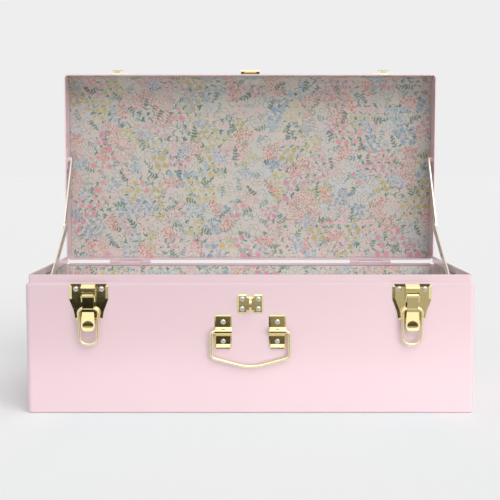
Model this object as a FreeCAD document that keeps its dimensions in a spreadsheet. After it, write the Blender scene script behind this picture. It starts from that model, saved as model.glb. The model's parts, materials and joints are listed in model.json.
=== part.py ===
import FreeCAD, Part
import math
import os
import types

import Sketcher

# A pressed steel keepsake trunk standing with its lid open.
# Millimetres. +X is to the right of someone facing the latches, -Y is the front, +Z is up.
# The origin is the centre of the underside. Pieces of the lid are drawn with the lid shut
# and then turned open about the hinge axis.

DRIVING_SIZES = [
    ("body_width", 530, "outside, left to right"),
    ("body_depth", 265, "outside, front to back"),
    ("body_height", 165, "underside to the top of the collar"),
    ("corner_radius", 6, "upright corners of base and lid"),
    ("foot_radius", 2.5, "edge between walls and underside"),
    ("sheet", 0.8, "steel of base and lid"),
    ("hem", 1.8, "folded rim thickness"),
    ("hem_height", 2.8, "how far the fold comes down"),
    ("collar_height", 8.9, "upright part of the collar"),
    ("collar_radius", 3, "upright corners of the collar"),
    ("shoulder_inset", 3.5, "the shoulder leans in at 45 degrees by this much"),
    ("collar_back_gap", 8, "from the ends of the collar to the back face"),
    ("floor_flange", 9, "inward turned edge under the floor panel"),
    ("floor_lap", 2, "width of the step round the pressed field of the floor panel"),
    ("rest_gap", 0.3, "between shut rim and shoulder, and round lining cards"),
    ("lid_height", 42, "rim to top"),
    ("lid_edge_radius", 3, "edge round the top of the lid"),
    ("card", 1.2, "lining card with its paper"),
    ("card_top_gap", 2, "lining stops this far below the shoulder"),
    ("back_bare_band", 4, "bare steel above the lining of the back wall"),
    ("lid_card_bend", 20, "inner radius where the lid's lining turns from front wall to top"),
    ("hinge_offset", 3.6, "hinge axis behind the back face"),
    ("hinge_inset", 92, "side of the trunk to centre of a hinge"),
    ("hinge_middle", 32.7, "middle knuckle"),
    ("hinge_end", 12.7, "each end knuckle"),
    ("hinge_side_gap", 0.3, "between knuckles"),
    ("hinge_knuckle_radius", 3, "outside"),
    ("hinge_pin_radius", 1.5, ""),
    ("hinge_leaf_height", 24, "from the axis"),
    ("hinge_leaf", 1.2, "thickness"),
    ("hinge_leaf_clear", 3.4, "leaf edge to axis where the other leaf's knuckles turn"),
    ("hinge_rivet_spread", 19, "hinge centre to rivet"),
    ("hinge_rivet_drop", 15, "axis to rivet"),
    ("turning_clearance", 0.06, "round a pin or wire that turns"),
    ("set_clearance", 0.02, "round a pin or shank that doesn't turn"),
    ("rivet_head_radius", 3.1, "large rivets"),
    ("rivet_head_height", 1.4, ""),
    ("rivet_shank_radius", 1.4, ""),
    ("small_head_radius", 2.1, "small rivets"),
    ("small_head_height", 1.0, ""),
    ("small_shank_radius", 1.1, ""),
    ("plate", 1.2, "brass plates on the front"),
    ("bevel_width", 1.6, "sloping border of a brass plate"),
    ("latch_bevel_width", 3.2, "sloping border of a latch plate"),
    ("bevel_depth", 0.7, ""),
    ("latch_inset", 75, "side of the trunk to centre of a latch"),
    ("latch_width", 46, "latch plate"),
    ("latch_foot_width", 31.4, "bottom of the latch plate"),
    ("latch_height", 43, "latch plate"),
    ("latch_straight", 18.1, "straight upper part of its sides"),
    ("latch_waist", 5.4, "how far the curved part draws in at its middle"),
    ("latch_waist_drop", 14, "straight part to waist"),
    ("latch_corner", 3.4, ""),
    ("latch_rivet_spread", 15, ""),
    ("latch_rivet_drop", 6, "below the top of the plate"),
    ("ear_gap", 14, "between the ears"),
    ("ear", 1.2, "thickness"),
    ("ear_below", 8, "pivot to lower end of the ears"),
    ("ear_out", 8.4, "front of the ears from the wall"),
    ("bridge_drop", 5.2, "pivot to the underside of the bridge"),
    ("bridge_front", 4.4, "upright front of the bridge"),
    ("lever_pivot_drop", 13.4, "top of the latch plate to the pivot"),
    ("lever_pivot_out", 6, "pivot from the wall"),
    ("lever_pin_radius", 1.1, ""),
    ("lever_knuckle_radius", 2.4, ""),
    ("lever_side_gap", 0.3, "between the lever and the ears"),
    ("lever_width", 12.4, "tongue where it leaves the ears"),
    ("lever_end_width", 17, "tongue at its end before rounding"),
    ("lever_end_bend", 7, "rounded corners of the end"),
    ("lever_sheet", 1.5, "thickness"),
    ("lever_out", 6.2, "back of the tongue from the wall"),
    ("lever_length", 42, "pivot to the end of the lip"),
    ("lever_flat", 19, "pivot to where the tongue starts to lean out"),
    ("lever_lean", 1.8, "how far it leans out down to the lip"),
    ("lever_lip", 1.8, "how far the lip stands out"),
    ("lever_lip_rise", 3, "height of the bend of the lip"),
    ("thumb_width", 13, "oval thumb mark"),
    ("thumb_height", 8.8, ""),
    ("thumb_bend", 12.8, "radius of its hollow"),
    ("thumb_depth", 0.8, ""),
    ("thumb_drop", 33.9, "pivot to the middle of the thumb mark"),
    ("loop_drop", 15.5, "pivot to loop axis"),
    ("loop_out", 5.2, "loop axis from the wall"),
    ("loop_wire_radius", 1.6, ""),
    ("loop_half_width", 12, "centre line, at the barrel"),
    ("loop_end_half_width", 9.9, "centre line, at the end that hooks on"),
    ("loop_length", 42.1, "centre line"),
    ("loop_bend", 5, "centre line, at the barrel"),
    ("loop_end_bend", 8.2, "centre line, at the end that hooks on"),
    ("loop_barrel_radius", 2.6, ""),
    ("keeper_width", 43, "plate"),
    ("keeper_height", 17, "plate"),
    ("keeper_rise", 2.2, "rim to plate"),
    ("keeper_rivet_spread", 16.8, ""),
    ("keeper_hook_width", 15.5, ""),
    ("keeper_neck_width", 7.6, ""),
    ("keeper_seat_clear", 0.6, "loop wire to the seat of the hook"),
    ("keeper_lip_out", 5.5, "back of the lip from the wall"),
    ("keeper_lip_height", 5.4, "seat to the tip of the lip"),
    ("hasp_width", 26.4, "leaf and strap"),
    ("hasp_leaf_height", 19, "axis to the far edge of the leaf"),
    ("hasp_axis_rise", 3.5, "rim to axis"),
    ("hasp_axis_out", 3.9, "axis from the wall"),
    ("hasp_knuckle_radius", 2.4, ""),
    ("hasp_pin_radius", 1.2, ""),
    ("hasp_end", 4.7, "each end knuckle"),
    ("hasp_side_gap", 0.3, "between knuckles"),
    ("hasp_rivet_spread", 8.6, ""),
    ("hasp_rivet_rise", 13, "axis to rivets"),
    ("strap_length", 39.5, "axis to tip"),
    ("strap_thickness", 1.2, ""),
    ("strap_slot_width", 5, ""),
    ("strap_slot_height", 17, ""),
    ("strap_slot_drop", 27.9, "axis to the centre of the slot"),
    ("strap_corner", 5, "lower corners"),
    ("strap_clear", 3.1, "axis to the shoulders of the strap"),
    ("strap_curl_radius", 1.9, "rolled tip"),
    ("strap_lean", 8, "degrees that the folded back strap stands off the lid"),
    ("staple_width", 30.4, "plate"),
    ("staple_height", 22.6, "plate"),
    ("staple_corner", 1.8, ""),
    ("staple_notch_width", 6.8, "notches above and below the fin"),
    ("staple_notch_depth", 2.7, ""),
    ("staple_notch_corner", 0.5, ""),
    ("staple_drop", 23.8, "top of the latch plates to the centre of the staple"),
    ("staple_rivet_x", 9.5, ""),
    ("staple_rivet_z", 5.8, ""),
    ("staple_neck_width", 7, ""),
    ("staple_neck_height", 14, ""),
    ("staple_neck", 0.7, "thickness"),
    ("fin_thickness", 2.4, "two layers of sheet"),
    ("fin_height", 14, ""),
    ("fin_out", 13.2, "front of the fin from the wall"),
    ("fin_corner", 5.5, ""),
    ("eye_radius", 3.4, "hole for a padlock"),
    ("eye_out", 8.3, "centre of the hole from the wall"),
    ("bracket_spread", 32, "centre of the trunk to centre of a handle bracket"),
    ("bracket_width", 20, ""),
    ("bracket_height", 39.6, ""),
    ("bracket_corner", 1.8, ""),
    ("bracket_rivet", 11.5, "bail axis to rivets"),
    ("bail_axis_drop", 56.5, "top of the latch plates to the bail's axis"),
    ("bail_axis_out", 3.6, "from the wall"),
    ("bail_wire_radius", 2, ""),
    ("bail_half_width", 45.9, "centre line"),
    ("bail_side_drop", 31, "axis to the lower corners, centre line"),
    ("bail_drop", 43.5, "axis to the middle of the grip before rounding, centre line"),
    ("bail_upper_bend", 3.4, "centre line"),
    ("bail_lower_bend", 6, "centre line"),
    ("bail_grip_bend", 60, "centre line"),
    ("bail_end_inset", 17, "bracket edge to the wire's end"),
    ("barrel_half_height", 5.2, "barrel of the bracket at the wall"),
    ("barrel_nose", 2.4, "half height of the barrel's front before rounding"),
    ("barrel_out", 7, "front of the barrel from the wall"),
    ("bracket_lip_out", 3, "lower edge of the bracket from the wall"),
    ("bracket_lip_rise", 6.2, "height of the sloping lower edge"),
    ("stay_width", 12, "arms"),
    ("stay_thickness", 1.6, "arms"),
    ("stay_layer_gap", 0.5, "between the two arms of a stay"),
    ("stay_wall_gap", 5.5, "side wall to the upper arm"),
    ("stay_base_y", 115, "lower pivot behind the front face"),
    ("stay_base_drop", 16, "lower pivot below the collar's top"),
    ("stay_middle_y", 221, "middle joint behind the front face"),
    ("stay_middle_rise", 44, "middle joint above the collar's top"),
    ("stay_lid_depth", 18.5, "lid pivot from the rim"),
    ("stay_lid_reach", 147, "lid pivot from the hinge axis, along the lid"),
    ("stay_pivot_radius", 2.2, "shanks"),
    ("stay_head_radius", 4.4, ""),
    ("stay_head_height", 1.5, ""),
    ("stay_post_radius", 3.1, "shoulder of the lower rivet"),
    ("stay_back_head", 0.6, "flat head behind the middle joint"),
    ("stay_rib_width", 4.2, "pressed rib of the lower arm"),
    ("stay_rib", 0.7, "its height"),
    ("stay_rib_start", 52, "lower pivot to the rib"),
    ("stay_rib_end", 12, "rib to the middle joint"),
    ("stay_bracket_size", 16, "plate of the bracket in the lid"),
    ("stay_bracket_plate", 1.2, ""),
    ("stay_boss_radius", 5, ""),
    ("overrun", 2, "how far a cutting tool passes a face"),
]

# Shares of the shoulder's wall and of the lever's lip.
TUCK_SHARE = 0.4
HALF = 0.5

doc = FreeCAD.newDocument("Trunk")
sheet = doc.addObject("Spreadsheet::Sheet", "Sizes")


class Dim:
    """A size with its number and the expression that gives it from the sheet."""

    def __init__(self, value, text):
        self.value = value
        self.text = text

    def __add__(self, other):
        return Dim(self.value + number(other), f"({self.text} + {text_of(other)})")

    def __sub__(self, other):
        return Dim(self.value - number(other), f"({self.text} - {text_of(other)})")

    def __mul__(self, other):
        return Dim(self.value * number(other), f"({self.text} * {text_of(other)})")

    def __truediv__(self, other):
        return Dim(self.value / number(other), f"({self.text} / {text_of(other)})")

    def __neg__(self):
        return Dim(-self.value, f"(-1 * {self.text})")


def number(size):
    return size.value if isinstance(size, Dim) else float(size)


def text_of(size):
    return size.text if isinstance(size, Dim) else repr(size)


def length_of(across, up):
    value = math.hypot(number(across), number(up))
    return Dim(value, f"sqrt({text_of(across)}^2 + {text_of(up)}^2)")


def angle_of(across, up):
    value = math.degrees(math.atan2(number(up), number(across)))
    return Dim(value, f"atan2({text_of(up)}; {text_of(across)})")


def fill_sheet():
    for row, (name, value, note) in enumerate(DRIVING_SIZES, start=1):
        sheet.set(f"A{row}", name)
        sheet.set(f"B{row}", str(value))
        sheet.set(f"C{row}", note)
        sheet.setAlias(f"B{row}", name)
    doc.recompute()
    return types.SimpleNamespace(
        **{name: Dim(float(value), f"Sizes.{name}") for name, value, note in DRIVING_SIZES})


v = fill_sheet()

# Levels and faces that several pieces share.
front_y = -v.body_depth / 2
back_y = v.body_depth / 2
shoulder_top = v.body_height - v.collar_height
shoulder_low = shoulder_top - v.shoulder_inset
rim_z = shoulder_low + v.hem + v.rest_gap
back_top = rim_z - v.rest_gap * 2
lid_top = rim_z + v.lid_height
axis_y = back_y + v.hinge_offset
axis_z = rim_z
plate_top = rim_z - v.rest_gap
pivot_z = plate_top - v.lever_pivot_drop
loop_z = pivot_z - v.loop_drop
staple_z = plate_top - v.staple_drop
bail_z = plate_top - v.bail_axis_drop
hasp_z = rim_z + v.hasp_axis_rise
keeper_seat = loop_z + v.loop_length - v.loop_wire_radius - v.keeper_seat_clear
wall_x = v.body_width / 2 - v.sheet
hinge_x = v.body_width / 2 - v.hinge_inset
latch_x = v.body_width / 2 - v.latch_inset
floor_top = v.sheet * 2

X_AXIS = FreeCAD.Vector(1, 0, 0)
Y_AXIS = FreeCAD.Vector(0, 1, 0)
QUARTER = 90
TURNS = {
    "-Y": FreeCAD.Rotation(X_AXIS, QUARTER),
    "+Y": FreeCAD.Rotation(X_AXIS, -QUARTER),
    "+X": FreeCAD.Rotation(Y_AXIS, QUARTER),
    "-X": FreeCAD.Rotation(Y_AXIS, -QUARTER),
    "+Z": FreeCAD.Rotation(),
}
STEPS = {"-Y": (0, -1, 0), "+Y": (0, 1, 0), "+X": (1, 0, 0), "-X": (-1, 0, 0), "+Z": (0, 0, 1)}
SIDES = (("left", -1), ("right", 1))

finished = []
wall_holes = []
lid_holes = []
none = Dim(0, "0")


def bind(thing, prop, size):
    thing.setExpression(prop, text_of(size))


def place(thing, x, y, z):
    bind(thing, "Placement.Base.x", x)
    bind(thing, "Placement.Base.y", y)
    bind(thing, "Placement.Base.z", z)


def turn_about_x(thing, degrees):
    thing.Placement = FreeCAD.Placement(FreeCAD.Vector(), FreeCAD.Rotation(X_AXIS, number(degrees)))
    bind(thing, "Placement.Rotation.Angle", degrees)


def swing_open(thing):
    """Turns a piece drawn with the lid shut by a quarter turn about the hinge axis."""
    thing.Placement = FreeCAD.Placement(FreeCAD.Vector(), FreeCAD.Rotation(X_AXIS, -QUARTER))
    place(thing, 0, axis_y - axis_z, axis_z + axis_y)
    return thing


def finish(thing, label):
    """Marks an object as a sub-part under the name that its file gets."""
    thing.Label = label
    finished.append(thing)
    return thing


def box(name, x0, x1, y0, y1, z0, z1):
    thing = doc.addObject("Part::Box", name)
    bind(thing, "Length", x1 - x0)
    bind(thing, "Width", y1 - y0)
    bind(thing, "Height", z1 - z0)
    place(thing, x0, y0, z0)
    return thing


def cylinder(name, radius, length, x, y, z, way):
    thing = doc.addObject("Part::Cylinder", name)
    thing.Placement = FreeCAD.Placement(FreeCAD.Vector(), TURNS[way])
    bind(thing, "Radius", radius)
    bind(thing, "Height", length)
    place(thing, x, y, z)
    return thing


def rod(name, radius, half_length, x, y, z):
    """A cylinder along X whose middle is at the point."""
    return cylinder(name, radius, half_length * 2, x - half_length, y, z, "+X")


def dome(name, base_radius, height, x, y, z, way):
    """A rivet head whose flat side is at the point."""
    ball = (base_radius * base_radius + height * height) / (height * 2)
    sunk = ball - height
    thing = doc.addObject("Part::Sphere", name)
    thing.Placement = FreeCAD.Placement(FreeCAD.Vector(), TURNS[way])
    bind(thing, "Radius", ball)
    thing.setExpression("Angle1", f"asin({sunk.text} / {ball.text})")
    step = STEPS[way]
    place(thing, x - sunk * step[0], y - sunk * step[1], z - sunk * step[2])
    return thing


def join(name, pieces):
    thing = doc.addObject("Part::MultiFuse", name)
    thing.Shapes = pieces
    return thing


def group(name, pieces):
    thing = doc.addObject("Part::Compound", name)
    thing.Links = pieces
    return thing


def cut(name, base, tools):
    thing = doc.addObject("Part::Cut", name)
    thing.Base = base
    thing.Tool = tools[0] if len(tools) == 1 else group(name + "_tools", tools)
    return thing


def common(name, first, second):
    thing = doc.addObject("Part::Common", name)
    thing.Base = first
    thing.Tool = second
    return thing


def new_body(name):
    return doc.addObject("PartDesign::Body", name)


def new_sketch(body, name, plane, offset):
    """A sketch on one of the body's own planes, moved along that plane's normal."""
    sketch = body.newObject("Sketcher::SketchObject", name)
    role = plane + "_Plane"
    support = next(item for item in body.Origin.OriginFeatures if item.Role == role)
    sketch.AttachmentSupport = [(support, "")]
    sketch.MapMode = "FlatFace"
    bind(sketch, "AttachmentOffset.Base.z", offset)
    return sketch


def hold(sketch, kind, *what):
    """Adds a constraint and ties its value, where the last item is one, to the sheet."""
    size = what[-1]
    if isinstance(size, Dim):
        index = sketch.addConstraint(Sketcher.Constraint(kind, *what[:-1], size.value))
        sketch.setExpression(f"Constraints[{index}]", size.text)
    else:
        sketch.addConstraint(Sketcher.Constraint(kind, *what))


def pin_point(sketch, geometry, vertex, x, y):
    """Fixes a point of the sketch at its place from the sketch's origin."""
    for kind, size, axis in (("DistanceX", x, -2), ("DistanceY", y, -1)):
        if number(size) == 0:
            hold(sketch, "PointOnObject", geometry, vertex, axis)
        else:
            hold(sketch, kind, -1, 1, geometry, vertex, size)


def trace(sketch, corners, closed=True):
    """Draws straight runs through the corners; a corner (x, y, r) is rounded by an arc."""
    spots = [FreeCAD.Vector(number(c[0]), number(c[1]), 0) for c in corners]
    count = len(corners)
    runs = count if closed else count - 1
    starts, ends, arcs = {}, {}, {}
    for index, corner in enumerate(corners):
        inner = closed or 0 < index < count - 1
        here = spots[index]
        if len(corner) < 3 or not inner:
            starts[index] = ends[index] = here
            continue
        before = (spots[index - 1] - here).normalize()
        after = (spots[(index + 1) % count] - here).normalize()
        half_angle = before.getAngle(after) / 2
        reach = number(corner[2]) / math.tan(half_angle)
        ends[index] = here + before * reach
        starts[index] = here + after * reach
        bisector = (before + after).normalize()
        middle = here + bisector * (number(corner[2]) / math.sin(half_angle))
        left_turn = before.cross(after).z < 0
        first, last = (ends, starts) if left_turn else (starts, ends)
        circle = Part.Circle(middle, FreeCAD.Vector(0, 0, 1), number(corner[2]))
        angles = [bearing(middle, spot[index]) for spot in (first, last)]
        arcs[index] = (Part.ArcOfCircle(circle, *angles), 1 if left_turn else 2)
    lines = [sketch.addGeometry(Part.LineSegment(starts[i], ends[(i + 1) % count]))
             for i in range(runs)]
    for index, corner in enumerate(corners):
        into, out = lines[index - 1] if index or closed else None, None
        if closed or index < count - 1:
            out = lines[index % runs]
        if index not in arcs:
            if into is None:
                pin_point(sketch, out, 1, corner[0], corner[1])
            else:
                pin_point(sketch, into, 2, corner[0], corner[1])
                if out is not None:
                    hold(sketch, "Coincident", into, 2, out, 1)
            continue
        spot = sketch.addGeometry(Part.Point(spots[index]))
        sketch.setConstruction(spot, True)
        pin_point(sketch, spot, 1, corner[0], corner[1])
        hold(sketch, "PointOnObject", spot, 1, into)
        hold(sketch, "PointOnObject", spot, 1, out)
        curve, entry = arcs[index]
        arc = sketch.addGeometry(curve)
        hold(sketch, "Tangent", into, 2, arc, entry)
        hold(sketch, "Tangent", arc, 3 - entry, out, 1)
        hold(sketch, "Radius", arc, corner[2])


def bearing(middle, spot):
    return math.atan2(spot.y - middle.y, spot.x - middle.x)


def add_circle(sketch, x, y, radius):
    centre = FreeCAD.Vector(number(x), number(y), 0)
    index = sketch.addGeometry(Part.Circle(centre, FreeCAD.Vector(0, 0, 1), number(radius)))
    pin_point(sketch, index, 3, x, y)
    hold(sketch, "Radius", index, radius)


def add_pad(body, sketch, name, length):
    pad = body.newObject("PartDesign::Pad", name)
    pad.Profile = sketch
    bind(pad, "Length", length)
    doc.recompute()
    return pad


def prism(name, plane, corners, start, length, holes=()):
    """A padded outline. On XZ the pad grows to the front, and start is measured that way."""
    body = new_body(name)
    sketch = new_sketch(body, name + "_outline", plane, start)
    trace(sketch, corners)
    for x, y, radius in holes:
        add_circle(sketch, x, y, radius)
    add_pad(body, sketch, name + "_pad", length)
    return body


def edges_where(shape, test):
    return [f"Edge{i}" for i, edge in enumerate(shape.Edges, start=1) if test(edge.BoundBox)]


def add_fillet(body, name, test, radius):
    base = body.Tip
    fillet = body.newObject("PartDesign::Fillet", name)
    fillet.Base = (base, edges_where(base.Shape, test))
    bind(fillet, "Radius", radius)
    doc.recompute()


def near(value, size):
    return abs(value - number(size)) < number(v.set_clearance)


def at_level(size):
    """A test for edges that lie flat at a height."""
    return lambda bounds: near(bounds.ZMin, size) and near(bounds.ZMax, size)


def bevelled_plate(name, corners, border):
    """A brass plate on the front wall with a sloping border of that width."""
    flat = v.plate - v.bevel_depth
    body = prism(name, "XZ", corners, -front_y, flat)
    sketch = new_sketch(body, name + "_top_outline", "XZ", flat - front_y)
    trace(sketch, corners)
    pad = body.newObject("PartDesign::Pad", name + "_border")
    pad.Profile = sketch
    bind(pad, "Length", v.bevel_depth)
    slope = angle_of(v.bevel_depth, border)
    bind(pad, "TaperAngle", -slope)
    doc.recompute()
    return body


def oblong(x, z, width, height, radius):
    """Corners of a rounded rectangle about a centre."""
    return [(x - width / 2, z - height / 2, radius), (x + width / 2, z - height / 2, radius),
            (x + width / 2, z + height / 2, radius), (x - width / 2, z + height / 2, radius)]


def riveted(name, spots, face_y, way, grip, small=False):
    """Rivets at (x, z) spots on a face, and the holes that their shanks need."""
    head = v.small_head_radius if small else v.rivet_head_radius
    rise = v.small_head_height if small else v.rivet_head_height
    shank = v.small_shank_radius if small else v.rivet_shank_radius
    back = {"-Y": "+Y", "+Y": "-Y"}[way]
    outward = STEPS[way][1]
    rivets, holes = [], []
    for index, (x, z) in enumerate(spots):
        tag = f"{name}_{index}"
        cap = dome(tag + "_head", head, rise, x, face_y, z, way)
        stem = cylinder(tag + "_shank", shank, grip, x, face_y, z, back)
        rivets.append(join(tag, [cap, stem]))
        start = face_y + v.overrun * outward
        holes.append(cylinder(tag + "_hole", shank + v.set_clearance,
                              grip + v.overrun * 2, x, start, z, back))
    return rivets, holes


def section(body, name, level, inset, radius):
    """The trunk's plan outline at a level, drawn in by an inset."""
    sketch = new_sketch(body, name, "XY", level)
    trace(sketch, oblong(none, none, v.body_width - inset * 2, v.body_depth - inset * 2, radius))
    return sketch


def stacked(name, levels):
    """A solid between plan outlines (level, inset, radius): upright, or leaning where they differ."""
    body = new_body(name)
    for index, (low, high) in enumerate(zip(levels, levels[1:])):
        if number(low[0]) == number(high[0]):
            continue
        tag = f"{name}_{index}"
        lower = section(body, tag + "_low", *low)
        if number(low[1]) == number(high[1]):
            add_pad(body, lower, tag + "_wall", high[0] - low[0])
            continue
        upper = section(body, tag + "_high", *high)
        doc.recompute()
        loft = body.newObject("PartDesign::AdditiveLoft", tag + "_slope")
        loft.Profile = lower
        loft.Sections = [upper]
        doc.recompute()
    return body


def make_base_body():
    collar = v.shoulder_inset
    tuck = v.sheet * TUCK_SHARE
    outer = stacked("base_outer", [
        (none, none, v.corner_radius), (shoulder_low, none, v.corner_radius),
        (shoulder_top, collar, v.collar_radius), (v.body_height, collar, v.collar_radius)])
    add_fillet(outer, "base_foot", at_level(none), v.foot_radius)
    thin = collar + v.sheet
    thick = collar + v.hem
    hem_low = v.body_height - v.hem_height
    inner = stacked("base_inner", [
        (v.sheet, v.sheet, v.corner_radius - v.sheet),
        (shoulder_low - tuck, v.sheet, v.corner_radius - v.sheet),
        (shoulder_top - tuck, thin, v.collar_radius - v.sheet),
        (hem_low, thin, v.collar_radius - v.sheet), (hem_low, thick, v.collar_radius - v.hem),
        (v.body_height + v.overrun, thick, v.collar_radius - v.hem)])
    add_fillet(inner, "base_inner_foot", at_level(v.sheet), v.foot_radius - v.sheet)
    opening = stacked("base_floor_opening", [
        (-v.overrun, v.floor_flange, v.corner_radius),
        (v.sheet + v.overrun, v.floor_flange, v.corner_radius)])
    half = v.body_width / 2
    notch = box("base_back_notch", -half - v.overrun, half + v.overrun, back_y - v.collar_back_gap,
                back_y + v.overrun, shoulder_low, v.body_height + v.overrun)
    shell = cut("base_shell", outer, [inner, opening, notch])
    hem = box("base_back_hem", -half + v.corner_radius, half - v.corner_radius, back_y - v.hem,
              back_y, back_top - v.hem_height, back_top)
    whole = join("base_hemmed", [shell, hem])
    finish(cut("base_drilled", whole, wall_holes), "base_body")


def make_base_panels():
    inset = v.sheet + v.rest_gap
    radius = v.corner_radius - inset
    field = v.floor_flange + v.rest_gap
    tray = inset + v.foot_radius
    rim = stacked("floor_rim", [(v.sheet, tray, radius), (floor_top, tray, radius)])
    well = stacked("floor_well", [(v.sheet - v.overrun, field + v.floor_lap, radius),
                                  (floor_top + v.overrun, field + v.floor_lap, radius)])
    pressed = stacked("floor_field", [(none, field, v.corner_radius),
                                      (v.sheet, field, v.corner_radius)])
    ring = cut("floor_ring", rim, [well])
    finish(join("floor_panel", [ring, pressed]), "base_floor_panel")
    lining = stacked("floor_lining", [(floor_top, inset + v.card, radius),
                                      (floor_top + v.card, inset + v.card, radius)])
    finish(lining, "base_liner_floor")
    low = floor_top + v.card
    side_top = shoulder_low - v.card_top_gap
    back_card_top = back_top - v.back_bare_band
    reach = v.body_width / 2 - v.corner_radius
    front_in = front_y + v.sheet
    finish(box("front_card", -reach, reach, front_in, front_in + v.card, low, side_top),
           "base_liner_front")
    back_in = back_y - v.sheet
    finish(box("back_card", -reach, reach, back_in - v.card, back_in, low, back_card_top),
           "base_liner_back")
    long_y = v.body_depth / 2 - v.corner_radius
    post_y = front_y + v.stay_base_y
    post_z = v.body_height - v.stay_base_drop
    for side, sign in SIDES:
        near_x = wall_x * sign
        far_x = (wall_x - v.card) * sign
        low_x, high_x = (near_x, far_x) if sign < 0 else (far_x, near_x)
        card = box(f"side_card_{side}", low_x, high_x, -long_y, long_y, low, side_top)
        hole = rod(f"side_card_hole_{side}", v.stay_post_radius + v.rest_gap, v.overrun + v.card,
                   near_x, post_y, post_z)
        finish(cut(f"side_card_cut_{side}", card, [hole]), f"base_liner_{side}")


def make_lid():
    outer = stacked("lid_outer", [(rim_z, none, v.corner_radius), (lid_top, none, v.corner_radius)])
    add_fillet(outer, "lid_edge", at_level(lid_top), v.lid_edge_radius)
    ceiling = lid_top - v.sheet
    inner = stacked("lid_inner", [(rim_z + v.hem_height, v.sheet, v.corner_radius - v.sheet),
                                  (ceiling, v.sheet, v.corner_radius - v.sheet)])
    add_fillet(inner, "lid_inner_edge", at_level(ceiling), v.lid_edge_radius - v.sheet)
    mouth = stacked("lid_mouth", [
        (rim_z - v.overrun, v.hem, v.corner_radius - v.hem),
        (rim_z + v.hem_height + v.set_clearance, v.hem, v.corner_radius - v.hem)])
    shell = cut("lid_open_shell", outer, [inner, mouth])
    finish(swing_open(cut("lid_drilled", shell, lid_holes)), "lid_shell")


def make_lid_liner():
    """Card that covers the front wall and the top, drawn as a bent strip and trimmed to the lid."""
    inset = v.sheet + v.rest_gap
    low = rim_z + v.hem_height + v.rest_gap
    ceiling = lid_top - inset
    wall = front_y + inset
    back_end = back_y - inset
    half = v.body_width / 2 - inset
    bend = v.lid_card_bend
    strip = prism("lid_card_strip", "YZ", [
        (wall, low), (wall, ceiling, bend + v.card), (back_end, ceiling),
        (back_end, ceiling - v.card), (wall + v.card, ceiling - v.card, bend),
        (wall + v.card, low)], -half, half * 2)
    inside = stacked("lid_card_space", [(low - v.overrun, inset, v.corner_radius - inset),
                                        (ceiling, inset, v.corner_radius - inset)])
    add_fillet(inside, "lid_card_edge", at_level(ceiling), v.lid_edge_radius - inset)
    finish(swing_open(common("lid_card", strip, inside)), "lid_liner")


def make_hinges():
    half_middle = v.hinge_middle / 2
    half_all = half_middle + v.hinge_end
    y = axis_y
    bore = v.hinge_pin_radius + v.turning_clearance
    leaf_face = back_y + v.hinge_leaf
    grip = v.hinge_leaf + v.sheet
    all_low_rivets, all_high_rivets = [], []
    for side, sign in SIDES:
        x = hinge_x * sign
        spots_low = [(x + v.hinge_rivet_spread * s, axis_z - v.hinge_rivet_drop) for s in (-1, 1)]
        spots_high = [(x + v.hinge_rivet_spread * s, axis_z + v.hinge_rivet_drop) for s in (-1, 1)]
        low_rivets, low_holes = riveted(f"hinge_low_{side}", spots_low, leaf_face, "+Y", grip, True)
        high_rivets, high_holes = riveted(f"hinge_high_{side}", spots_high, leaf_face, "+Y", grip,
                                          True)
        wall_holes.extend(low_holes)
        lid_holes.extend(high_holes)
        all_low_rivets.extend(low_rivets)
        all_high_rivets.extend(high_rivets)

        low_leaf = box(f"hinge_low_leaf_{side}", x - half_all, x + half_all, back_y, leaf_face,
                       axis_z - v.hinge_leaf_height, axis_z - v.hinge_leaf_clear)
        low_neck = box(f"hinge_low_neck_{side}", x - half_middle, x + half_middle, back_y,
                       leaf_face, axis_z - v.hinge_leaf_clear, axis_z)
        middle = rod(f"hinge_middle_{side}", v.hinge_knuckle_radius, half_middle, x, y, axis_z)
        low_all = join(f"hinge_low_whole_{side}", [low_leaf, low_neck, middle])
        low_bore = rod(f"hinge_low_bore_{side}", bore, half_all, x, y, axis_z)
        finish(cut(f"hinge_low_{side}", low_all, [low_bore] + low_holes),
               f"hinge_leaf_base_{side}")

        pieces = [box(f"hinge_high_leaf_{side}", x - half_all, x + half_all, back_y, leaf_face,
                      axis_z + v.hinge_leaf_clear, axis_z + v.hinge_leaf_height)]
        for s in (-1, 1):
            middle_x = x + (half_middle + v.hinge_end / 2 + v.hinge_side_gap / 2) * s
            half_end = v.hinge_end / 2 - v.hinge_side_gap / 2
            tag = f"hinge_end_{side}_{s + 1}"
            pieces.append(rod(tag, v.hinge_knuckle_radius, half_end, middle_x, y, axis_z))
            pieces.append(box(tag + "_neck", middle_x - half_end, middle_x + half_end, back_y,
                              leaf_face, axis_z, axis_z + v.hinge_leaf_clear))
        high_all = join(f"hinge_high_whole_{side}", pieces)
        high_bore = rod(f"hinge_high_bore_{side}", bore, half_all + v.overrun, x, y, axis_z)
        finish(swing_open(cut(f"hinge_high_{side}", high_all, [high_bore] + high_holes)),
               f"hinge_leaf_lid_{side}")
        finish(rod(f"hinge_pin_{side}", v.hinge_pin_radius, half_all, x, y, axis_z),
               f"hinge_pin_{side}")
    finish(group("hinge_low_rivets", all_low_rivets), "hinge_rivets_base")
    finish(swing_open(group("hinge_high_rivets", all_high_rivets)), "hinge_rivets_lid")


def out_profile(corners):
    """Turns corners given as (distance from the front wall, height, radius) into YZ places."""
    return [(front_y - corner[0],) + tuple(corner[1:]) for corner in corners]


def make_latches():
    for side, sign in SIDES:
        x = latch_x * sign
        make_latch_plate(side, x)
        make_lever(side, x)
        make_loop(side, x)


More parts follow.
